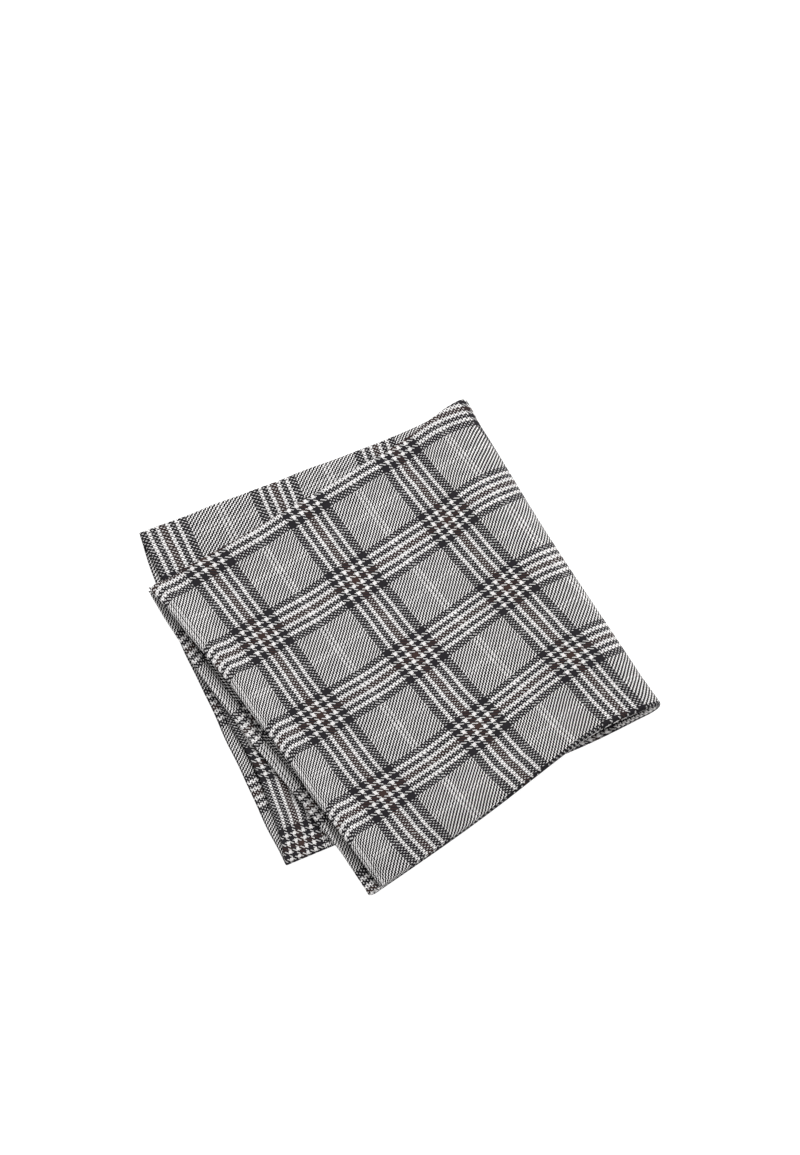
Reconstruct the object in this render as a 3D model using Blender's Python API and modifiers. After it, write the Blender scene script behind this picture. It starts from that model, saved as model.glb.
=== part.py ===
# Glen-check pocket square, folded in quarters and lying flat.
# One square of cloth with a narrow turned hem. Metres, Z up.
# The long soft fold runs along Y on the +X side, the short fold closes the -Y side,
# and the open hems lie on the -X and +Y sides.

import math

import bpy

MM = 0.001

# Cloth
CLOTH_THICK = 1.0
HEM_THICK = 1.4
HEM_WIDTH = 4.0
HEM_STEP = 0.8
HALF_LENGTH = 150.0

# Plan of the folded corners in mm, x across and y along the long fold.
# A pair is two layers joined by the short fold.
FOLD_CLOSED = (77.0, -77.0)
FOLD_OPEN = (76.5, 70.0)
UNDER_CLOSED = (-79.5, -60.5)
UNDER_OPEN = (-58.5, 88.5)
TOP_CLOSED = (-57.0, -88.0)
TOP_OPEN = (-68.0, 64.5)

# How far each layer's side hem strays outward from its straight line, in mm:
# the sizes of one, two and three half waves along it
STRAY = {
    "first": (-3.2, 0.0, 0.0),
    "second": (2.7, -0.7, 0.0),
    "third": (-2.4, -1.6, -1.2),
    "fourth": (1.6, -0.6, 0.6),
}

# Half the distance between the two outer faces of a pair, mm
GAP_FIELD = 1.2
GAP_HEM = 1.6
GAP_SHORT_FOLD = 1.75
GAP_FADE = 14.0

# Heights in mm. The top pair lies BETWEEN_PAIRS above the under pair
# and drops to the surface over DROP_REACH beyond it.
BETWEEN_PAIRS = 0.5
DROP_REACH = 22.0

# Crest of the long fold in mm: its height at the ends, what it rises by midway,
# how far from the fold it falls away, and how far in each side of the roll reaches
CREST_END = 8.5
CREST_RISE = 0.5
CREST_FALL = 43.0
ROLL_UNDER = 5.0
ROLL_OVER = 9.0

# The short fold of the top pair bows inward by this much across and along,
# and that of the under pair bows outward, mm
EASE = (-0.5, 4.0)
UNDER_BOW = 2.0

# The open hems reach this much further along at the long fold, over this width, mm
TIP_REACH = 2.5
TIP_WIDTH = 30.0

# Number of steps in each stretch of the cloth
UNDER_LINES = 8
ROLL_UNDER_LINES = 5
ROLL_OVER_LINES = 6
TOP_LINES = 15
ROW_LINES = 12
SHORT_FOLD_LINES = 8


def between(a, b, t):
    return (a[0] + (b[0] - a[0]) * t, a[1] + (b[1] - a[1]) * t)


def soft(t):
    t = min(max(t, 0.0), 1.0)
    return t * t * (3.0 - 2.0 * t)


def columns():
    # Across the cloth: under hem, under run, roll, top run, top hem
    cols = [("under", "hem", 0.0), ("under", "hem", HEM_WIDTH), ("under", "hem", HEM_WIDTH + HEM_STEP)]
    cols += [("under", "run", 1.0 - k / UNDER_LINES) for k in range(1, UNDER_LINES)]
    cols += [("under", "roll", 90.0 - 90.0 * k / ROLL_UNDER_LINES) for k in range(ROLL_UNDER_LINES)]
    cols += [("top", "roll", 90.0 * k / ROLL_OVER_LINES) for k in range(ROLL_OVER_LINES + 1)]
    cols += [("top", "run", k / TOP_LINES) for k in range(1, TOP_LINES)]
    cols += [("top", "hem", HEM_WIDTH + HEM_STEP), ("top", "hem", HEM_WIDTH), ("top", "hem", 0.0)]
    return cols


def rows():
    # Along the cloth: outer layers from the open hem to the short fold, then inner layers back
    start = HALF_LENGTH - HEM_WIDTH - HEM_STEP
    end = GAP_SHORT_FOLD
    outer = [HALF_LENGTH, HALF_LENGTH - HEM_WIDTH, start]
    for k in range(1, ROW_LINES + 1):
        outer.append(start + (end - start) * math.sin(math.pi / 2 * k / ROW_LINES))
    line = [("outer", b) for b in outer[:-1]]
    for k in range(SHORT_FOLD_LINES + 1):
        line.append(("fold", 180.0 * k / SHORT_FOLD_LINES))
    line += [("inner", b) for b in reversed(outer[:-1])]
    return line


def half_gap(to_side_hem, b):
    # Wider round the short fold and along the thicker hems
    short_fold = (GAP_SHORT_FOLD - GAP_FIELD) * (1.0 - soft((b - GAP_SHORT_FOLD) / GAP_FADE))
    open_hem = (GAP_HEM - GAP_FIELD) * (1.0 - soft((HALF_LENGTH - b - HEM_WIDTH - HEM_STEP) / GAP_FADE))
    side_hem = (GAP_HEM - GAP_FIELD) * (1.0 - soft((to_side_hem - HEM_WIDTH - HEM_STEP) / GAP_FADE))
    return GAP_FIELD + max(short_fold, open_hem, side_hem)


def stray(name, beta):
    return sum(size * math.sin((k + 1) * math.pi * beta) for k, size in enumerate(STRAY[name]))


def outside_under_pair(x, y):
    # Distance in front of the bow of the under pair's closed edge
    dx = FOLD_CLOSED[0] - UNDER_CLOSED[0]
    dy = FOLD_CLOSED[1] - UNDER_CLOSED[1]
    return (dy * (x - UNDER_CLOSED[0]) - dx * (y - UNDER_CLOSED[1])) / math.hypot(dx, dy) - UNDER_BOW


def crest(beta):
    # Height of the middle of the top pair over the long fold
    return CREST_END + CREST_RISE * math.sin(math.pi * beta ** 0.75)


def place(col, row):
    # Point on the right side of the cloth
    side, kind, value = col
    # Row: distance from the short fold and place between the two layers of the pair
    if row[0] == "fold":
        turn = math.radians(row[1])
        b = GAP_SHORT_FOLD * (1.0 - math.sin(turn))
        layer = math.cos(turn)
    else:
        b = row[1]
        layer = 1.0 if row[0] == "outer" else -1.0
    beta = b / HALF_LENGTH
    fold = between(FOLD_CLOSED, FOLD_OPEN, beta)
    if side == "top":
        hem = between(TOP_CLOSED, TOP_OPEN, beta)
        outer, inner = stray("first", beta), stray("second", beta)
        roll = ROLL_OVER
    else:
        hem = between(UNDER_CLOSED, UNDER_OPEN, beta)
        outer, inner = stray("fourth", beta), stray("third", beta)
        roll = ROLL_UNDER
    width = math.hypot(hem[0] - fold[0], hem[1] - fold[1])
    toward = ((hem[0] - fold[0]) / width, (hem[1] - fold[1]) / width)
    width += (outer + inner) / 2 + layer * (outer - inner) / 2

    # Column: distance in from the long fold and direction of travel
    gap_fold = half_gap(width, b)
    under_mid = gap_fold
    top_crest = crest(beta)
    edge_z = under_mid + 0.45 * (top_crest - under_mid)
    if kind == "roll":
        turn = math.radians(value)
        p = roll * (1.0 - math.cos(turn))
        gap = gap_fold
        if side == "top":
            z = edge_z + (top_crest - edge_z) * math.sin(turn)
            run = (roll * math.sin(turn), (top_crest - edge_z) * math.cos(turn))
        else:
            z = edge_z - (edge_z - under_mid) * math.sin(turn)
            run = (roll * math.sin(turn), -(edge_z - under_mid) * math.cos(turn))
    else:
        reach = width - HEM_WIDTH - HEM_STEP - roll
        p = width - value if kind == "hem" else roll + reach * value
        gap = half_gap(width - p, b)
        if side == "top":
            x, y = fold[0] + toward[0] * p, fold[1] + toward[1] * p
            lift = 2.0 * GAP_SHORT_FOLD + BETWEEN_PAIRS
            lift *= 1.0 - soft((outside_under_pair(x, y) - 1.0) / DROP_REACH)
            rest = lift + gap
            t = min((p - roll) / CREST_FALL, 1.0)
            fall = 0.5 + 0.5 * math.cos(math.pi * t)
            z = rest + max(top_crest - rest, 0.0) * fall
            slope = -max(top_crest - rest, 0.0) * 0.5 * math.pi / CREST_FALL * math.sin(math.pi * t)
            run = (1.0, slope)
        else:
            z = gap
            run = (1.0, 0.0)

    # Outward from the middle of the pair to this layer's outer face
    size = math.hypot(run[0], run[1])
    out = (-run[1] / size, run[0] / size) if side == "top" else (run[1] / size, -run[0] / size)
    reach_out = layer * (GAP_SHORT_FOLD if row[0] == "fold" else gap)
    p += reach_out * out[0]
    z += reach_out * out[1]
    if p >= 0.0:
        x, y = fold[0] + toward[0] * p, fold[1] + toward[1] * p
    else:
        x, y = fold[0] - p, fold[1]
    ease = math.cos(math.pi / 2 * beta) * math.sin(math.pi * min(max(p, 0.0) / width, 1.0) ** 0.5) ** 4
    if side == "top":
        x += EASE[0] * ease
        y += EASE[1] * ease
    else:
        y -= UNDER_BOW * ease
    y += TIP_REACH * beta ** 4 * (1.0 - soft(p / TIP_WIDTH))
    return (x * MM, y * MM, z * MM)


def fabric(name, colour, roughness):
    mat = bpy.data.materials.new(name)
    mat.use_nodes = True
    shader = mat.node_tree.nodes["Principled BSDF"]
    shader.inputs["Base Color"].default_value = (*colour, 1.0)
    shader.inputs["Roughness"].default_value = roughness
    shader.inputs["Metallic"].default_value = 0.0
    return mat


for ob in list(bpy.data.objects):
    bpy.data.objects.remove(ob, do_unlink=True)

parts = bpy.data.collections.new("pocket_square")
bpy.context.scene.collection.children.link(parts)

cols = columns()
lines = rows()
bpy.ops.mesh.primitive_grid_add(x_subdivisions=len(cols) - 1, y_subdivisions=len(lines) - 1, size=2.0)
cloth = bpy.context.active_object
cloth.name = "folded_square"
cloth.data.name = "folded_square"
for other in list(cloth.users_collection):
    other.objects.unlink(cloth)
parts.objects.link(cloth)

# Lay the grid in its folds, then thicken it toward the wrong side
hem_group = cloth.vertex_groups.new(name="cloth thickness")
for v in cloth.data.vertices:
    i = round((v.co.x + 1.0) / 2.0 * (len(cols) - 1))
    j = round((v.co.y + 1.0) / 2.0 * (len(lines) - 1))
    on_hem = min(i, len(cols) - 1 - i) < 2 or min(j, len(lines) - 1 - j) < 2
    hem_group.add([v.index], 1.0 if on_hem else CLOTH_THICK / HEM_THICK, "REPLACE")
    v.co = place(cols[i], lines[j])

thick = cloth.modifiers.new("cloth thickness", "SOLIDIFY")
thick.thickness = HEM_THICK * MM
thick.offset = -1.0
thick.use_quality_normals = True
thick.vertex_group = hem_group.name

cloth.data.materials.append(fabric("glen check wool", (0.27, 0.26, 0.26), 0.85))
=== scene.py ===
import math

import bmesh
import bpy
import numpy as np
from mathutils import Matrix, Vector


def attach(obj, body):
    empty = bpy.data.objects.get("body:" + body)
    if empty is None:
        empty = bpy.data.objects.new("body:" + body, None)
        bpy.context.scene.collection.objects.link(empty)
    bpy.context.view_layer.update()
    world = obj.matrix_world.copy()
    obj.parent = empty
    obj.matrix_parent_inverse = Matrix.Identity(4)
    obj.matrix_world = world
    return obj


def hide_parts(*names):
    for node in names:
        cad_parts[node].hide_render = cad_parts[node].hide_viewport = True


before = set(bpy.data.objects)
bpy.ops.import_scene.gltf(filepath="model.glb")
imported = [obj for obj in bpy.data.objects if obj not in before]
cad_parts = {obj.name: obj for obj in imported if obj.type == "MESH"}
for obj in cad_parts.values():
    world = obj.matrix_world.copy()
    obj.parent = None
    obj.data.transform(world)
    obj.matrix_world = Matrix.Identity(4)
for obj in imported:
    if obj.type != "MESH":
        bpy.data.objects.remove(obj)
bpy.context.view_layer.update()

MM = 0.001

# Cloth in mm. The square is folded in half, wrong sides together, along the short fold,
# then in half again along the long fold. The hem is turned under once.
CLOTH_THICK = 0.45
HALF_LENGTH = 150.0
HEM_FLAP = 5.0
HEM_BEND = 0.6
# The turned flaps are mitred where two hems meet, this far apart
MITRE_GAP = 0.3

# Plan of the folded corners in mm, x across and y along the long fold.
# A pair is two layers joined by the short fold.
FOLD_CLOSED = (77.5, -77.0)
FOLD_OPEN = (77.0, 70.5)
UNDER_CLOSED = (-79.5, -60.5)
UNDER_OPEN = (-58.5, 89.0)
TOP_CLOSED = (-57.0, -88.0)
TOP_OPEN = (-68.0, 65.0)

# How far each layer's side hem strays outward from its straight line, in mm:
# at the short fold, then the sizes of one, two and three half waves along it.
# The layers are numbered from the top.
STRAY = {
    "first": (-5.0, -3.2, 0.0, 0.0),
    "second": (1.0, 2.9, -1.0, 0.0),
    "third": (0.0, -2.4, -1.6, -1.2),
    "fourth": (0.0, 2.1, -0.6, 0.3),
}
# How fast the stray at the short fold dies away along the hem
STRAY_FADE = 8

# Small waves along every hem: their size in mm, the turn of a long and of a short wave
# in radians per mm, the share of the short one, and where in the wave each layer starts
HEM_WAVE = 0.15
LONG_WAVE = 0.17
SHORT_WAVE = 0.31
SHORT_SHARE = 0.6
WAVE_START = {"first": 0.0, "second": 1.7, "third": 3.1, "fourth": 4.4}

# The soft trough along the inner edge of a hem: its depth, place and half width, mm
HEM_TROUGH = 0.3
TROUGH_AT = 6.2
TROUGH_WIDTH = 0.9

# Half the distance between the two outer faces of a pair, mm: in the middle of the cloth,
# along the hems, along the top pair's side hem, which stands higher, and round the short
# fold, and how far in from the fold and the hems the wider gap reaches
GAP_FIELD = 0.9
GAP_HEM = 1.4
GAP_TOP_SIDE_HEM = 2.45
GAP_SHORT_FOLD = 1.3
GAP_FADE_FOLD = 14.0
GAP_FADE_HEM = 6.0
# Toward the short fold the side hems thin to the gap there, over this distance, mm
HEM_EASE = 10.0

# Heights in mm. The top pair lies BETWEEN_PAIRS above the under pair, and drops to the
# surface over DROP_REACH from DROP_START beyond that pair's short fold.
BETWEEN_PAIRS = 0.5
DROP_START = 1.0
DROP_REACH = 22.0

# The long fold in mm: the height of its crest, how far from the fold it falls away, how far
# in each side of the roll reaches, and the share of the height at which the roll is widest
CREST_CLOSED = 8.0
CREST_OPEN = 8.5
CREST_FALL = 43.0
ROLL_UNDER = 5.0
ROLL_OVER_CLOSED = 7.5
ROLL_OVER_OPEN = 4.0
WIDEST_AT = 0.45

# The short fold of the top pair bows inward by EASE, across and along, near the long fold
# and by BROAD_EASE over its whole width, and that of the under pair bows outward, mm
EASE = (-0.5, 3.8)
BROAD_EASE = 1.0
UNDER_BOW = 2.0
# The open hems reach this much further along at the long fold, over this width, mm
TIP_REACH = 2.5
TIP_WIDTH = 30.0
# The corner at the open end of the long fold is drawn out this far, x and y, over this distance, mm
CORNER_DRAW = (1.1, -0.5)
CORNER_WIDTH = 12.0
# The long fold sways in and then out by this much along its length, mm
FOLD_SWAY = 0.5

# Steps in each stretch of the cloth, and how far in from its edge a hem has its own fine steps, mm
FLAP_STEPS = 3
BEND_STEPS = 6
HEM_STEPS = 12
HEM_ZONE = 8.0
UNDER_STEPS = 34
ROLL_UNDER_STEPS = 12
ROLL_OVER_STEPS = 16
TOP_STEPS = 46
ROW_STEPS = 54
SHORT_FOLD_STEPS = 16

# Weave. An end every 0.45 mm and a pick every 0.36 mm make a check of about 45 by 39 mm.
# Yarns are numbered from the first dark yarn of a band.
END_PITCH = 0.45
END_REPEAT = 100
PICK_REPEAT = 108
# Number of the pick at the outer layers' open hem, at the short fold and at the inner layers' open hem
OUTER_HEM_PICK = -84.7
SHORT_FOLD_PICK = {"top": 328.3, "under": 323.3}
INNER_HEM_PICK = {"top": 741.7, "under": 747.7}
# Number of the end at the long fold and at the under pair's side hem
FOLD_END = {"closed": 253.5, "open": 309.5}
UNDER_SIDE_END = 641.0
# Number of the end at the top pair's side hem, by place from short fold to open hem
SIDE_HEM_END = ((0.0, -35.0), (0.25, -26.0), (0.5, -25.0), (0.8, -31.0), (1.0, -31.0))
# How much the ends of the under pair gather toward the long fold at its open end, by how many
# picks its upper layer lies slack, and the width in mm over which that pair's own numbers come in
UNDER_GATHER = 0.15
UNDER_SLACK = 13.0
FOLD_SHIFT_WIDTH = 100.0
# Near the short fold the under pair's picks slip round it by this many, over this reach in mm
RIM_SLIP = 4.5
SLIP_REACH = 16.0
# By how many picks the top pair's side hem is dragged toward the short fold, over what width in mm
HEM_DRAG = 8.0
DRAG_WIDTH = 6.0

# How many yarns the first layer is pulled askew, from the long fold to the side hem in each row,
# and from the short fold to the open hem down the rows
PULL_ACROSS = (0.0, 0.06, 0.15, 0.35, 0.65, 1.0)
PULL_ALONG = (0.0, 0.2, 0.7, 1.0)
END_PULL = (
    (10, 8, 5, 2, 5, 4),
    (6, 4, 2, -1, -1, -6),
    (5, 4, 3, 2, 0, -5),
    (7, 7, 3, -4, -6, -4),
)
PICK_PULL = (
    (1, 2, 4, 3, 2, 1),
    (8, 7, 5, 0, -3, 0),
    (-1, -2, 1, -2, -3, 1),
    (-20, -12, -3, 2, 0, -2),
)
# The pull fades over this share of the cloth beyond each fold
PULL_FADE = 0.15

# Yarns wander within a band this many yarns wide, and the size of the wanderings in mm
WANDER = 1.6
WANDER_SIZE = 9.0
# Roundness of a yarn against its wave, how much fuller a dark yarn is than a white one,
# the light left in the gaps between yarns and the height at which none is lost
YARN_CROWN = 0.95
DARK_FULLER = 1.85
GAP_SHADE = 0.6
GAP_SHADE_TOP = 1.6
# How strongly painted light and shade stand out along the slanting lines of the ground and where a stripe
# crosses the ground, the painted shade that darkens the ground overall, and the least light left
TWILL_LINE_SHADE = 0.84
TWILL_LINE_SHADE_IN_STRIPE = 0.3
TWILL_LINE_SHADE_LOSS = 0.34
TWILL_LINE_SHADE_FLOOR = 0.04
# How far the painted highlight and shade of the slanting steps stand out where light and dark stripes cross,
# the light left by the painted shade where fuller dark yarns cross light ones, and the tone at which that
# painted shade is deepest
STEP_LIGHT_AND_SHADE = 0.85
LIGHT_LEFT_IN_CROWDING_SHADE = 0.64
DARKEST_TONE = 0.02
# How unevenly the dye takes, and the size of the patches in mm
DYE_UNEVEN = 0.5
DYE_SIZE = 3.75
# How high the yarns stand, mm
YARN_RELIEF = 0.08


def between(a, b, t):
    return (a[0] + (b[0] - a[0]) * t, a[1] + (b[1] - a[1]) * t)


def soft(t):
    t = min(max(t, 0.0), 1.0)
    return t * t * (3.0 - 2.0 * t)


def hem_path():
    # From the raw edge under the hem, round the turned edge, to the end of the hem zone:
    # distance in from the edge and depth below the right side
    flap = HEM_FLAP - HEM_BEND
    path = [(HEM_BEND + flap * (1 - k / FLAP_STEPS), 2 * HEM_BEND) for k in range(FLAP_STEPS)]
    for k in range(BEND_STEPS):
        turn = math.pi * (1.0 - k / BEND_STEPS)
        path.append((HEM_BEND * (1.0 - math.sin(turn)), HEM_BEND * (1.0 - math.cos(turn))))
    path += [(HEM_BEND + (HEM_ZONE - HEM_BEND) * k / HEM_STEPS, 0.0) for k in range(HEM_STEPS + 1)]
    return path


def columns():
    # Across the cloth: under hem, under run, roll, top run, top hem
    path = hem_path()
    cols = [("under", "hem", d, w) for d, w in path]
    cols += [("under", "run", 1.0 - k / UNDER_STEPS, 0.0) for k in range(1, UNDER_STEPS)]
    for k in range(ROLL_UNDER_STEPS):
        cols.append(("under", "roll", 90.0 - 90.0 * k / ROLL_UNDER_STEPS, 0.0))
    cols += [("top", "roll", 90.0 * k / ROLL_OVER_STEPS, 0.0) for k in range(ROLL_OVER_STEPS + 1)]
    cols += [("top", "run", k / TOP_STEPS, 0.0) for k in range(1, TOP_STEPS)]
    cols += [("top", "hem", d, w) for d, w in reversed(path)]
    return cols


def rows():
    # Along the cloth: outer layers from the open hem to the short fold, then inner layers back
    start = HALF_LENGTH - HEM_ZONE
    outer = [("outer", HALF_LENGTH - d, w) for d, w in hem_path()]
    for k in range(1, ROW_STEPS):
        b = start + (GAP_SHORT_FOLD - start) * math.sin(math.pi / 2 * k / ROW_STEPS)
        outer.append(("outer", b, 0.0))
    line = list(outer)
    for k in range(SHORT_FOLD_STEPS + 1):
        line.append(("fold", 180.0 * k / SHORT_FOLD_STEPS, 0.0))
    line += [("inner", b, w) for name, b, w in reversed(outer)]
    return line


def half_gap(side, to_side_hem, b):
    # Wider round the short fold and along the thicker hems
    at_side_hem = GAP_TOP_SIDE_HEM if side == "top" else GAP_HEM
    at_side_hem = GAP_SHORT_FOLD + (at_side_hem - GAP_SHORT_FOLD) * soft((b - GAP_SHORT_FOLD) / HEM_EASE)
    short_fold = (GAP_SHORT_FOLD - GAP_FIELD) * (1.0 - soft((b - GAP_SHORT_FOLD) / GAP_FADE_FOLD))
    open_hem = (GAP_HEM - GAP_FIELD) * (1.0 - soft((HALF_LENGTH - b - HEM_FLAP) / GAP_FADE_HEM))
    side_hem = (at_side_hem - GAP_FIELD) * (1.0 - soft((to_side_hem - HEM_FLAP) / GAP_FADE_HEM))
    return GAP_FIELD + max(short_fold, open_hem, side_hem)


def small_wave(name, along):
    start = WAVE_START[name]
    short = SHORT_SHARE * math.sin(SHORT_WAVE * along + 2.0 * start)
    return HEM_WAVE * (math.sin(LONG_WAVE * along + start) + short)


def stray(name, beta):
    at_fold, *waves = STRAY[name]
    out = at_fold * (1.0 - beta) ** STRAY_FADE
    out += sum(size * math.sin((k + 1) * math.pi * beta) for k, size in enumerate(waves))
    return out + small_wave(name, beta * HALF_LENGTH)


def trough(to_side_hem, b):
    nearest = min(abs(to_side_hem - TROUGH_AT), abs(HALF_LENGTH - b - TROUGH_AT))
    return HEM_TROUGH * math.exp(-(nearest / TROUGH_WIDTH) ** 2)


def outside_under_pair(x, y):
    # Distance in front of the bow of the under pair's closed edge
    dx = FOLD_CLOSED[0] - UNDER_CLOSED[0]
    dy = FOLD_CLOSED[1] - UNDER_CLOSED[1]
    return (dy * (x - UNDER_CLOSED[0]) - dx * (y - UNDER_CLOSED[1])) / math.hypot(dx, dy) - UNDER_BOW


def mitred(d, depth, to_other_edge):
    # Distance in from its edge of a point on a hem, its flap cut short near the other hem
    if depth < 2 * HEM_BEND:
        return d
    share = (to_other_edge - HEM_BEND - MITRE_GAP) / (HEM_FLAP - HEM_BEND)
    return HEM_BEND + (d - HEM_BEND) * min(max(share, 0.0), 1.0)


def along_fold(col, row, depth):
    # Distance from the short fold, place between the two layers of the pair,
    # and the column's own measure, with the mitre cut
    value = col[2]
    if row[0] == "fold":
        turn = math.radians(row[1])
        return GAP_SHORT_FOLD - (GAP_SHORT_FOLD - depth) * math.sin(turn), math.cos(turn), value
    b = row[1]
    if col[1] == "hem":
        to_end = HALF_LENGTH - b
        b = HALF_LENGTH - mitred(to_end, row[2], value)
        value = mitred(value, col[3], to_end)
    return b, 1.0 if row[0] == "outer" else -1.0, value


def roll_section(side, turn, roll, b, width):
    # Middle of the pair round the long fold: distance in from the fold, height,
    # direction of travel and half gap
    gap = half_gap(side, width, b)
    crest = CREST_CLOSED + (CREST_OPEN - CREST_CLOSED) * (b / HALF_LENGTH)
    widest = gap + WIDEST_AT * (crest - gap)
    p = roll * (1.0 - math.cos(turn))
    if side == "top":
        z = widest + (crest - widest) * math.sin(turn)
        return p, z, (roll * math.sin(turn), (crest - widest) * math.cos(turn)), gap
    z = widest - (widest - gap) * math.sin(turn)
    return p, z, (roll * math.sin(turn), -(widest - gap) * math.cos(turn)), gap


def flat_section(side, p, roll, b, width, fold, toward):
    # The same beyond the roll: the under pair lies flat, and the top pair falls from the
    # crest to rest on it and drops to the surface beyond it
    gap = half_gap(side, width - p, b)
    if side == "under":
        return p, gap, (1.0, 0.0), gap
    crest = CREST_CLOSED + (CREST_OPEN - CREST_CLOSED) * (b / HALF_LENGTH)
    x, y = fold[0] + toward[0] * p, fold[1] + toward[1] * p
    lift = 2.0 * GAP_SHORT_FOLD + BETWEEN_PAIRS
    lift *= 1.0 - soft((outside_under_pair(x, y) - DROP_START) / DROP_REACH)
    rest = lift + gap
    t = min((p - roll) / CREST_FALL, 1.0)
    fall = 0.5 + 0.5 * math.cos(math.pi * t)
    z = rest + max(crest - rest, 0.0) * fall
    slope = -max(crest - rest, 0.0) * 0.5 * math.pi / CREST_FALL * math.sin(math.pi * t)
    return p, z, (1.0, slope), gap


def eased(side, name, x, y, p, beta, width):
    # Bows of the short fold, widest a quarter of the way in, reach of the open hems at the
    # long fold, its sway, its drawn corner, and the small waves of the open hem
    at_fold, share = math.cos(math.pi / 2 * beta), min(max(p, 0.0) / width, 1.0)
    ease = at_fold * math.sin(math.pi * share ** 0.5) ** 4
    if side == "top":
        x += EASE[0] * ease
        y += EASE[1] * ease + BROAD_EASE * at_fold * math.sin(math.pi * share)
    else:
        y -= UNDER_BOW * ease
    y += TIP_REACH * beta ** 4 * (1.0 - soft(p / TIP_WIDTH))
    x -= FOLD_SWAY * math.sin(2.0 * math.pi * beta ** 2) * (1.0 - soft(p / TIP_WIDTH))
    corner = beta ** 12 * (1.0 - soft(p / CORNER_WIDTH))
    x += CORNER_DRAW[0] * corner
    y += CORNER_DRAW[1] * corner
    y += beta ** 16 * soft(p / TIP_WIDTH) * small_wave(name, p)
    return x, y


def place(col, row):
    # Point on the right side of the cloth. b is the distance from the short fold, beta its
    # share of the way to the open hem, and p the distance in from the long fold.
    side, kind = col[:2]
    depth = math.hypot(col[3], row[2])
    b, layer, value = along_fold(col, row, depth)
    beta = b / HALF_LENGTH
    fold = between(FOLD_CLOSED, FOLD_OPEN, beta)
    if side == "top":
        hem = between(TOP_CLOSED, TOP_OPEN, beta)
        names = "first", "second"
        roll = ROLL_OVER_CLOSED + (ROLL_OVER_OPEN - ROLL_OVER_CLOSED) * beta ** 4
    else:
        hem = between(UNDER_CLOSED, UNDER_OPEN, beta)
        names = "fourth", "third"
        roll = ROLL_UNDER
    width = math.hypot(hem[0] - fold[0], hem[1] - fold[1])
    toward = ((hem[0] - fold[0]) / width, (hem[1] - fold[1]) / width)
    outer, inner = stray(names[0], beta), stray(names[1], beta)
    width += (outer + inner) / 2 + layer * (outer - inner) / 2

    if kind == "roll":
        p, z, run, gap = roll_section(side, math.radians(value), roll, b, width)
    else:
        p = width - value if kind == "hem" else roll + (width - HEM_ZONE - roll) * value
        p, z, run, gap = flat_section(side, p, roll, b, width, fold, toward)

    # Outward from the middle of the pair to this layer's outer face
    size = math.hypot(run[0], run[1])
    out = (-run[1] / size, run[0] / size) if side == "top" else (run[1] / size, -run[0] / size)
    half = GAP_SHORT_FOLD if row[0] == "fold" else gap
    if kind != "roll":
        half -= trough(width - p, b) * (1.0 - depth / (4 * HEM_BEND))
    reach_out = layer * (half - depth)
    p += reach_out * out[0]
    z += reach_out * out[1]
    if p >= 0.0:
        x, y = fold[0] + toward[0] * p, fold[1] + toward[1] * p
    else:
        x, y = fold[0] - p, fold[1]
    x, y = eased(side, names[0] if layer > 0.0 else names[1], x, y, p, beta, width)
    return (x * MM, y * MM, z * MM)


def pull(table, across, along, inner):
    # Yarns pulled askew at each point, fading beyond the long fold and the short fold
    steps = np.array([np.interp(along, PULL_ALONG, column) for column in zip(*table)])
    value = np.empty(across.shape)
    for j in range(len(along)):
        value[j] = np.interp(across[j], PULL_ACROSS, steps[:, j])
    fade = np.clip(1.0 + across / PULL_FADE, 0.0, 1.0)
    return value * fade * np.where(inner, np.clip(1.0 - along / PULL_FADE, 0.0, 1.0), 1.0)[:, None]


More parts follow.
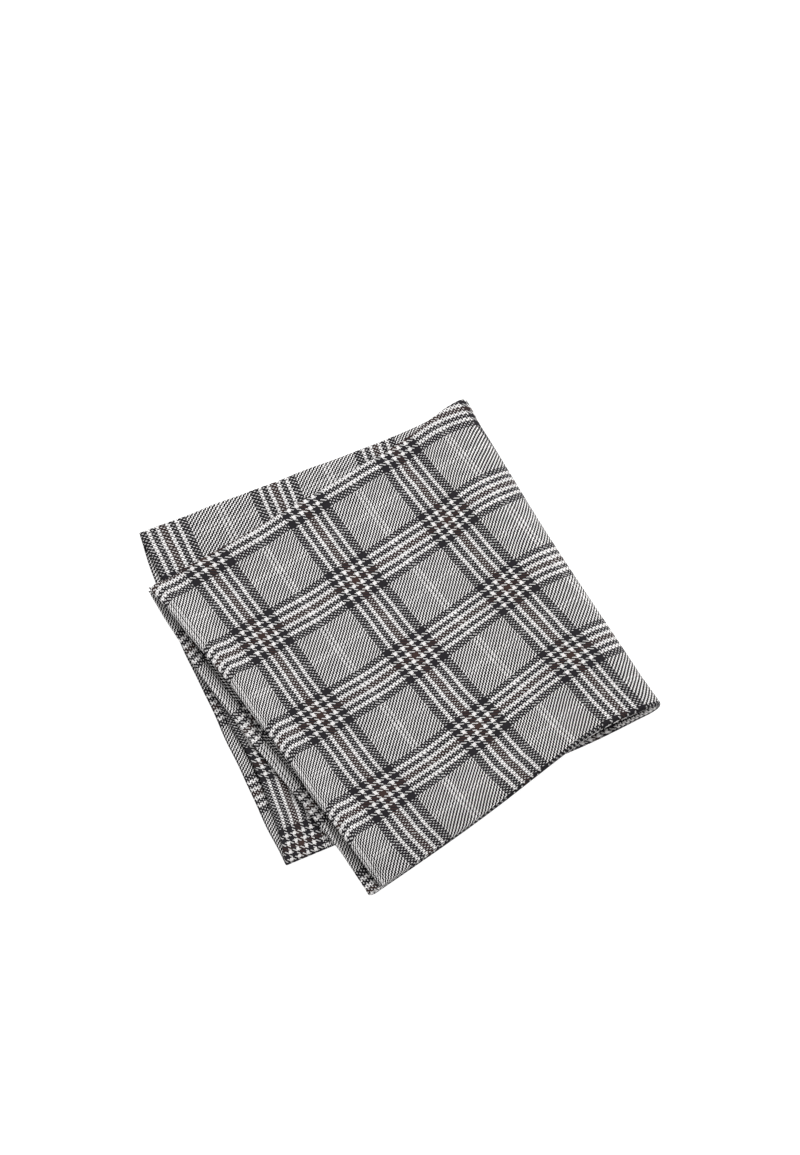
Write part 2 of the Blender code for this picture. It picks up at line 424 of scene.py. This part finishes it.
def yarn_numbers(points, cols, lines):
    # Number of the end and of the pick at each point, from lengths along the cloth
    across = np.zeros(points.shape[:2])
    along = np.zeros(points.shape[:2])
    across[:, 1:] = np.cumsum(np.linalg.norm(np.diff(points, axis=1), axis=2), axis=1) / MM
    along[1:] = np.cumsum(np.linalg.norm(np.diff(points, axis=0), axis=2), axis=0) / MM
    edge = FLAP_STEPS + BEND_STEPS // 2
    fold_row = lines.index(("fold", 90.0, 0.0))
    beta = np.array([0.0 if row[0] == "fold" else row[1] / HALF_LENGTH for row in lines])
    inside = np.arange(len(lines)) > fold_row

    # Ends, from the long fold out to the two side hems
    fold_end = FOLD_END["closed"] + (FOLD_END["open"] - FOLD_END["closed"]) * beta
    side_end = np.interp(beta, *zip(*SIDE_HEM_END))
    middle = across[:, [cols.index(("top", "roll", 0.0, 0.0))]]
    first, last = across[:, [edge]], across[:, [-1 - edge]]
    share = np.maximum(middle - across, 0.0) / (middle - first)
    share **= 1.0 - UNDER_GATHER * beta[:, None]
    under = fold_end[:, None] + (UNDER_SIDE_END - fold_end)[:, None] * share
    top = fold_end[:, None] + (side_end - fold_end)[:, None] * (across - middle) / (last - middle)
    end = np.where(across < middle, under, top)

    # Picks, from the short fold out to the two open hems. The two pairs are folded along
    # slightly different picks.
    top_edge, rim, last_edge = along[[edge]], along[[fold_row]], along[[-1 - edge]]
    to_under = np.clip((middle - across) / FOLD_SHIFT_WIDTH, 0.0, 1.0)
    fold_pick = SHORT_FOLD_PICK["top"] + (SHORT_FOLD_PICK["under"] - SHORT_FOLD_PICK["top"]) * to_under
    hem_pick = INNER_HEM_PICK["top"] + (INNER_HEM_PICK["under"] - INNER_HEM_PICK["top"]) * to_under
    outer = OUTER_HEM_PICK + (fold_pick - OUTER_HEM_PICK) * (along - top_edge) / (rim - top_edge)
    share = (along - rim) / (last_edge - rim)
    inner = fold_pick + (hem_pick - fold_pick) * share
    inner += UNDER_SLACK * to_under * np.sin(math.pi * np.clip(share, 0.0, 1.0))
    pick = np.where(along < rim, outer, inner)
    pick += RIM_SLIP * to_under * np.exp(-((along - rim) / SLIP_REACH) ** 2)

    # The top layer pulled askew, and its side hem dragged
    share = np.where(across < middle, across / middle - 1.0, (across - middle) / (last - middle))
    end += pull(END_PULL, share, beta, inside)
    pick += pull(PICK_PULL, share, beta, inside)
    to_hem = np.clip((last - across) / DRAG_WIDTH, 0.0, 1.0)
    pick += HEM_DRAG * (1.0 - to_hem) ** 2 * np.where(inside, 1.0, -1.0)[:, None]
    return end, pick


def linear(hex_colour):
    # sRGB hex to linear red, green, blue, alpha
    parts = [int(hex_colour[k:k + 2], 16) / 255 for k in (1, 3, 5)]
    return tuple(c / 12.92 if c <= 0.04045 else ((c + 0.055) / 1.055) ** 2.4 for c in parts) + (1.0,)


YARN = {
    "dark": linear("#302e32"),
    "white": linear("#dcdad9"),
    "brown": linear("#493936"),
}
GROUND_TONE = linear("#a6a4a3")
# The stripes of one repeat in yarns. Between them lies the ground of alternate dark and white yarns.
END_STRIPES = (
    ("dark", 7), ("white", 3), ("dark", 5), ("white", 3), ("brown", 6),
    ("white", 3), ("dark", 5), ("white", 3), ("dark", 8),
)
PICK_STRIPES = (
    ("dark", 7), ("white", 4), ("dark", 5), ("white", 4), ("brown", 6),
    ("white", 4), ("dark", 5), ("white", 4), ("dark", 8),
)
# The fine overcheck: its yarns, counted from the first of the ground, and how far they show
END_OVERCHECK = ((26, 0.6), (30, 0.6))
PICK_OVERCHECK = ((28, 0.4), (32, 0.4))


def chart(stripes, overcheck):
    # First yarn of each stripe, its colour, and how far it covers the ground's alternate yarns
    stops, at = [], 0
    for name, count in stripes:
        stops.append((at, YARN[name], 1.0))
        at += count
    stops.append((at, YARN["dark"], 0.0))
    for counted, shows in overcheck:
        yarn = at + counted - 1
        stops.append((yarn, YARN["white"], shows))
        stops.append((yarn + 1, YARN["dark"], 0.0))
    return sorted(stops)


def add(tree, kind, sockets=None, **settings):
    made = tree.nodes.new(kind)
    for name, value in settings.items():
        setattr(made, name, value)
    for key, value in (sockets or {}).items():
        if isinstance(value, bpy.types.NodeSocket):
            tree.links.new(value, made.inputs[key])
        else:
            made.inputs[key].default_value = value
    return made


def yarn_colour(tree, number, repeat, stripes, overcheck):
    # Whole number of the yarn, its colour, whether it belongs to a stripe, and its tone from afar
    whole = add(tree, "ShaderNodeMath", {0: number}, operation="FLOOR").outputs[0]
    within = add(tree, "ShaderNodeMath", {0: whole, 1: repeat}, operation="FLOORED_MODULO").outputs[0]
    within = add(tree, "ShaderNodeMath", {0: within, 1: 0.5}, operation="ADD").outputs[0]
    share = add(tree, "ShaderNodeMath", {0: within, 1: repeat}, operation="DIVIDE").outputs[0]
    ramp = add(tree, "ShaderNodeValToRGB", {0: share})
    ramp.color_ramp.interpolation = "CONSTANT"
    stops = chart(stripes, overcheck)
    elements = ramp.color_ramp.elements
    while len(elements) < len(stops):
        elements.new(0.5)
    for element, (yarn, colour, opaque) in zip(elements, stops):
        element.position = yarn / repeat
        element.color = (*colour[:3], opaque)
    odd = add(tree, "ShaderNodeMath", {0: whole, 1: 2.0}, operation="FLOORED_MODULO").outputs[0]
    stripe, in_stripe = ramp.outputs
    ground = add(tree, "ShaderNodeMix", {0: odd, 6: YARN["dark"], 7: YARN["white"]},
                 data_type="RGBA").outputs[2]
    mixed = add(tree, "ShaderNodeMix", {0: in_stripe, 6: ground, 7: stripe}, data_type="RGBA").outputs[2]
    tone = add(tree, "ShaderNodeMix", {0: in_stripe, 6: GROUND_TONE, 7: stripe}, data_type="RGBA").outputs[2]
    return whole, mixed, in_stripe, tone


def wave(tree, across, along, middle):
    # Height of a yarn as it passes over two others and under two, with its rounded top
    step = add(tree, "ShaderNodeMath", {0: along, 1: middle}, operation="SUBTRACT").outputs[0]
    step = add(tree, "ShaderNodeMath", {0: step, 1: math.pi / 2}, operation="MULTIPLY").outputs[0]
    step = add(tree, "ShaderNodeMath", {0: step}, operation="COSINE").outputs[0]
    side = add(tree, "ShaderNodeMath", {0: across}, operation="FRACT").outputs[0]
    side = add(tree, "ShaderNodeMath", {0: side, 1: math.pi}, operation="MULTIPLY").outputs[0]
    side = add(tree, "ShaderNodeMath", {0: side}, operation="SINE").outputs[0]
    return add(tree, "ShaderNodeMath", {0: side, 1: YARN_CROWN, 2: step}, operation="MULTIPLY_ADD").outputs[0]


def wandered(tree, yarns):
    # Yarns wander a little in the cloth
    scale = END_PITCH / WANDER_SIZE
    noise = add(tree, "ShaderNodeTexNoise", {"Vector": yarns, "Scale": scale, "Detail": 2.0})
    shift = add(tree, "ShaderNodeVectorMath", {0: noise.outputs["Color"], 1: (0.5, 0.5, 0.5)},
                operation="SUBTRACT").outputs[0]
    moved = add(tree, "ShaderNodeVectorMath", {0: shift, 1: (WANDER, WANDER, 0.0), 2: yarns},
                operation="MULTIPLY_ADD").outputs[0]
    split = add(tree, "ShaderNodeSeparateXYZ", {0: moved})
    return split.outputs[0], split.outputs[1]


def painted_twill_line_shade(tree, end, pick, striped, far):
    # Painted light and shade: the ground of alternate light and dark yarns in both directions is brightened
    # and darkened along slanting lines and darkened overall, more weakly where a stripe crosses it
    line = add(tree, "ShaderNodeMath", {0: end, 1: pick}, operation="ADD").outputs[0]
    line = add(tree, "ShaderNodeMath", {0: line, 1: math.pi / 2, 2: math.pi / 2 * (2.0 - far)},
               operation="MULTIPLY_ADD").outputs[0]
    line = add(tree, "ShaderNodeMath", {0: line}, operation="COSINE").outputs[0]
    strength = add(tree, "ShaderNodeMath", {0: striped, 1: TWILL_LINE_SHADE_IN_STRIPE - TWILL_LINE_SHADE, 2: TWILL_LINE_SHADE},
                   operation="MULTIPLY_ADD").outputs[0]
    strength = add(tree, "ShaderNodeMath", {0: strength, 1: 0.0}, operation="MAXIMUM").outputs[0]
    loss = add(tree, "ShaderNodeMath", {0: striped, 1: TWILL_LINE_SHADE_LOSS, 2: -TWILL_LINE_SHADE_LOSS},
               operation="MULTIPLY_ADD").outputs[0]
    loss = add(tree, "ShaderNodeMath", {0: loss, 1: 0.0}, operation="MINIMUM").outputs[0]
    line = add(tree, "ShaderNodeMath", {0: line, 1: loss}, operation="ADD").outputs[0]
    line = add(tree, "ShaderNodeMath", {0: line, 1: strength, 2: 1.0}, operation="MULTIPLY_ADD").outputs[0]
    return add(tree, "ShaderNodeMath", {0: line, 1: TWILL_LINE_SHADE_FLOOR}, operation="MAXIMUM").outputs[0]


def painted_step_light_and_shade(tree, end, pick, end_tone, pick_tone, far):
    # Painted highlight and shade: where a light stripe crosses a darker one, its floats are brightened and
    # darkened in slanting steps
    slant = add(tree, "ShaderNodeMath", {0: end, 1: pick}, operation="SUBTRACT").outputs[0]
    slant = add(tree, "ShaderNodeMath", {0: slant, 1: math.pi / 2, 2: math.pi / 2 * (far - 0.5)},
                operation="MULTIPLY_ADD").outputs[0]
    slant = add(tree, "ShaderNodeMath", {0: slant}, operation="COSINE").outputs[0]
    lean = add(tree, "ShaderNodeMath", {0: end_tone, 1: pick_tone}, operation="SUBTRACT").outputs[0]
    lean = add(tree, "ShaderNodeMath", {0: lean, 1: STEP_LIGHT_AND_SHADE}, operation="MULTIPLY").outputs[0]
    return add(tree, "ShaderNodeMath", {0: slant, 1: lean, 2: 1.0}, operation="MULTIPLY_ADD").outputs[0]


def painted_crowding_shade(tree, end_tone, pick_tone):
    # Painted shade: where a darker stripe crosses, the cloth is darkened, standing in for the shade that the
    # fuller dark yarns cast on the light ones they cross
    darker = add(tree, "ShaderNodeMath", {0: end_tone, 1: pick_tone}, operation="MINIMUM").outputs[0]
    return add(tree, "ShaderNodeMapRange", {"Value": darker, "From Min": DARKEST_TONE,
                                            "From Max": GROUND_TONE[1],
                                            "To Min": LIGHT_LEFT_IN_CROWDING_SHADE, "To Max": 1.0}).outputs[0]


def uneven_dye(tree, yarns):
    # The dye takes a little unevenly
    scale = END_PITCH / DYE_SIZE
    patches = add(tree, "ShaderNodeTexNoise", {"Vector": yarns, "Scale": scale, "Detail": 2.0}).outputs[0]
    return add(tree, "ShaderNodeMath", {0: patches, 1: DYE_UNEVEN, 2: 1.0 - DYE_UNEVEN / 2},
               operation="MULTIPLY_ADD").outputs[0]


def glen_check(name, right_side):
    # Worsted wool, dyed in the yarn and woven 2/2 twill, with a soft milled face: quite matt,
    # with a fine slanting rib. The floats of the wrong side lie two yarns along.
    mat = bpy.data.materials.new(name)
    mat.use_nodes = True
    tree = mat.node_tree
    shader = tree.nodes["Principled BSDF"]
    yarns = add(tree, "ShaderNodeAttribute", attribute_name="yarns").outputs["Vector"]
    end, pick = wandered(tree, yarns)
    end_number, end_colour, end_stripe, end_tone = yarn_colour(
        tree, end, END_REPEAT, END_STRIPES, END_OVERCHECK)
    pick_number, pick_colour, pick_stripe, pick_tone = yarn_colour(
        tree, pick, PICK_REPEAT, PICK_STRIPES, PICK_OVERCHECK)

    # The yarn that lies higher shows. Dark yarns are fuller than white ones.
    far = 0.0 if right_side else 2.0
    end_middle = add(tree, "ShaderNodeMath", {0: end_number, 1: far}, operation="ADD").outputs[0]
    pick_middle = add(tree, "ShaderNodeMath", {0: pick_number, 1: 3.0 + far}, operation="ADD").outputs[0]
    end_height = wave(tree, end, pick, end_middle)
    pick_height = wave(tree, pick, end, pick_middle)
    end_pale = add(tree, "ShaderNodeRGBToBW", {0: end_colour}).outputs[0]
    pick_pale = add(tree, "ShaderNodeRGBToBW", {0: pick_colour}).outputs[0]
    fuller = add(tree, "ShaderNodeMath", {0: pick_pale, 1: end_pale}, operation="SUBTRACT").outputs[0]
    lead = add(tree, "ShaderNodeMath", {0: end_height, 1: pick_height}, operation="SUBTRACT").outputs[0]
    lead = add(tree, "ShaderNodeMath", {0: fuller, 1: DARK_FULLER, 2: lead},
               operation="MULTIPLY_ADD").outputs[0]
    end_up = add(tree, "ShaderNodeMath", {0: lead, 1: 0.0}, operation="GREATER_THAN").outputs[0]
    colour = add(tree, "ShaderNodeMix", {0: end_up, 6: pick_colour, 7: end_colour},
                 data_type="RGBA").outputs[2]
    height = add(tree, "ShaderNodeMath", {0: end_height, 1: pick_height}, operation="MAXIMUM").outputs[0]

    # Light is lost in the gaps between yarns
    painted_shade_and_dye = add(tree, "ShaderNodeMapRange", {"Value": height, "From Min": 0.0, "From Max": GAP_SHADE_TOP,
                                             "To Min": GAP_SHADE, "To Max": 1.0}).outputs[0]
    striped = add(tree, "ShaderNodeMath", {0: end_stripe, 1: pick_stripe}, operation="ADD").outputs[0]
    end_tone = add(tree, "ShaderNodeRGBToBW", {0: end_tone}).outputs[0]
    pick_tone = add(tree, "ShaderNodeRGBToBW", {0: pick_tone}).outputs[0]
    # Painted light and shade from the slanting lines, the steps and the crowding, then the uneven dye, all
    # scale the yarn colour
    for factor in (
        painted_twill_line_shade(tree, end, pick, striped, far),
        painted_step_light_and_shade(tree, end, pick, end_tone, pick_tone, far),
        painted_crowding_shade(tree, end_tone, pick_tone),
        uneven_dye(tree, yarns),
    ):
        painted_shade_and_dye = add(tree, "ShaderNodeMath", {0: painted_shade_and_dye, 1: factor}, operation="MULTIPLY").outputs[0]
    lit = add(tree, "ShaderNodeVectorMath", {0: colour, "Scale": painted_shade_and_dye}, operation="SCALE").outputs[0]
    tree.links.new(lit, shader.inputs["Base Color"])
    bump = add(tree, "ShaderNodeBump", {"Height": height, "Distance": YARN_RELIEF * MM, "Strength": 0.5})
    tree.links.new(bump.outputs[0], shader.inputs["Normal"])
    shader.inputs["Roughness"].default_value = 0.9
    shader.inputs["Specular IOR Level"].default_value = 0.06
    shader.inputs["Sheen Weight"].default_value = 0.03
    shader.inputs["Sheen Roughness"].default_value = 0.4
    return mat


def cut_mitres(mesh, i, j, across, along):
    # Cuts away the cloth under each corner, where the flaps of two hems would lie double
    under = FLAP_STEPS + BEND_STEPS // 2
    beside = FLAP_STEPS + BEND_STEPS + 1
    cloth = bmesh.new()
    cloth.from_mesh(mesh)
    spare = []
    for face in cloth.faces:
        u = [int(i[v.index]) for v in face.verts]
        w = [int(j[v.index]) for v in face.verts]
        u = min(min(u), across - 1 - max(u))
        w = min(min(w), along - 1 - max(w))
        if (u < under and w < beside) or (w < under and u < beside):
            spare.append(face)
    bmesh.ops.delete(cloth, geom=spare, context="FACES")
    cloth.to_mesh(mesh)
    cloth.free()


def folded_cloth():
    cols, lines = columns(), rows()
    bpy.ops.mesh.primitive_grid_add(x_subdivisions=len(cols) - 1, y_subdivisions=len(lines) - 1, size=2.0)
    cloth = bpy.context.active_object
    cloth.name = "glen_check_square"
    points = np.array([[place(col, row) for col in cols] for row in lines])
    end, pick = yarn_numbers(points, cols, lines)

    # Lay the flat square in its folds and number its yarns
    mesh = cloth.data
    at = np.empty(len(mesh.vertices) * 3)
    mesh.vertices.foreach_get("co", at)
    at = at.reshape(-1, 3)
    i = np.rint((at[:, 0] + 1.0) / 2.0 * (len(cols) - 1)).astype(int)
    j = np.rint((at[:, 1] + 1.0) / 2.0 * (len(lines) - 1)).astype(int)
    mesh.vertices.foreach_set("co", points[j, i].ravel())
    yarns = mesh.attributes.new("yarns", "FLOAT_VECTOR", "POINT")
    yarns.data.foreach_set("vector", np.stack([end[j, i], pick[j, i], 0 * end[j, i]], axis=1).ravel())
    cut_mitres(mesh, i, j, len(cols), len(lines))
    mesh.polygons.foreach_set("use_smooth", [True] * len(mesh.polygons))
    mesh.update()

    # The cloth's thickness lies toward its wrong side
    thick = cloth.modifiers.new("cloth thickness", "SOLIDIFY")
    thick.thickness = CLOTH_THICK * MM
    thick.offset = -1.0
    thick.use_quality_normals = True
    thick.material_offset = 1
    thick.material_offset_rim = 1
    mesh.materials.append(glen_check("glen check, right side", True))
    mesh.materials.append(glen_check("glen check, wrong side", False))
    return cloth


cloth = folded_cloth()
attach(cloth, "root")
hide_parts("folded_square")


def lit_floor(name):
    # White paper over a softly lit panel, so that it stays white and shows almost no shadow
    bpy.ops.mesh.primitive_plane_add(size=4.0, location=(0.0, 0.0, -0.0002))
    floor = bpy.context.active_object
    floor.name = name
    paper = bpy.data.materials.new("white paper backdrop")
    paper.use_nodes = True
    shader = paper.node_tree.nodes["Principled BSDF"]
    shader.inputs["Base Color"].default_value = linear("#969696")
    shader.inputs["Roughness"].default_value = 0.9
    shader.inputs["Emission Color"].default_value = (1.0, 1.0, 1.0, 1.0)
    shader.inputs["Emission Strength"].default_value = 0.9
    floor.data.materials.append(paper)
    return floor


floor = lit_floor("studio_floor")

# Light: a bright even room with one large soft box
world = bpy.data.worlds.new("studio")
bpy.context.scene.world = world
world.use_nodes = True
world.node_tree.nodes["Background"].inputs[0].default_value = (1.0, 1.0, 1.0, 1.0)
world.node_tree.nodes["Background"].inputs[1].default_value = 0.75


def soft_box(name, at, size, power):
    lamp = bpy.data.lights.new(name, "AREA")
    lamp.size = size
    lamp.energy = power
    holder = bpy.data.objects.new(name, lamp)
    holder.location = at
    holder.rotation_euler = (-Vector(at)).to_track_quat("-Z", "Y").to_euler()
    bpy.context.scene.collection.objects.link(holder)


soft_box("key soft box", at=(0.5, 0.5, 0.75), size=0.6, power=11.0)

# Camera: long lens, well above the cloth. The origin falls on this pixel of the photograph.
CAMERA_AZIMUTH = -30.4
CAMERA_ELEVATION = 66.0
CAMERA_DISTANCE = 5.0
SENSOR = 36.0
MM_PER_PIXEL = 0.3872
ORIGIN_PIXEL = (384.8, 646.6)
IMAGE = (800, 1155)


def photo_camera():
    azimuth, elevation = math.radians(CAMERA_AZIMUTH), math.radians(CAMERA_ELEVATION)
    level = math.cos(elevation)
    back = Vector((math.sin(azimuth) * level, -math.cos(azimuth) * level, math.sin(elevation)))
    turn = (-back).to_track_quat("-Z", "Y")
    right, up = turn @ Vector((1.0, 0.0, 0.0)), turn @ Vector((0.0, 1.0, 0.0))
    aim = right * (IMAGE[0] / 2 - ORIGIN_PIXEL[0]) * MM_PER_PIXEL * MM
    aim += up * (ORIGIN_PIXEL[1] - IMAGE[1] / 2) * MM_PER_PIXEL * MM
    camera = bpy.data.objects.new("camera", bpy.data.cameras.new("camera"))
    bpy.context.scene.collection.objects.link(camera)
    camera.location = aim + back * CAMERA_DISTANCE
    camera.rotation_mode = "QUATERNION"
    camera.rotation_quaternion = turn
    camera.data.sensor_width = SENSOR
    camera.data.lens = SENSOR * CAMERA_DISTANCE / (IMAGE[1] * MM_PER_PIXEL * MM)
    camera.data.clip_end = 50.0
    return camera


bpy.context.scene.camera = photo_camera()
bpy.context.scene.view_settings.view_transform = "Standard"
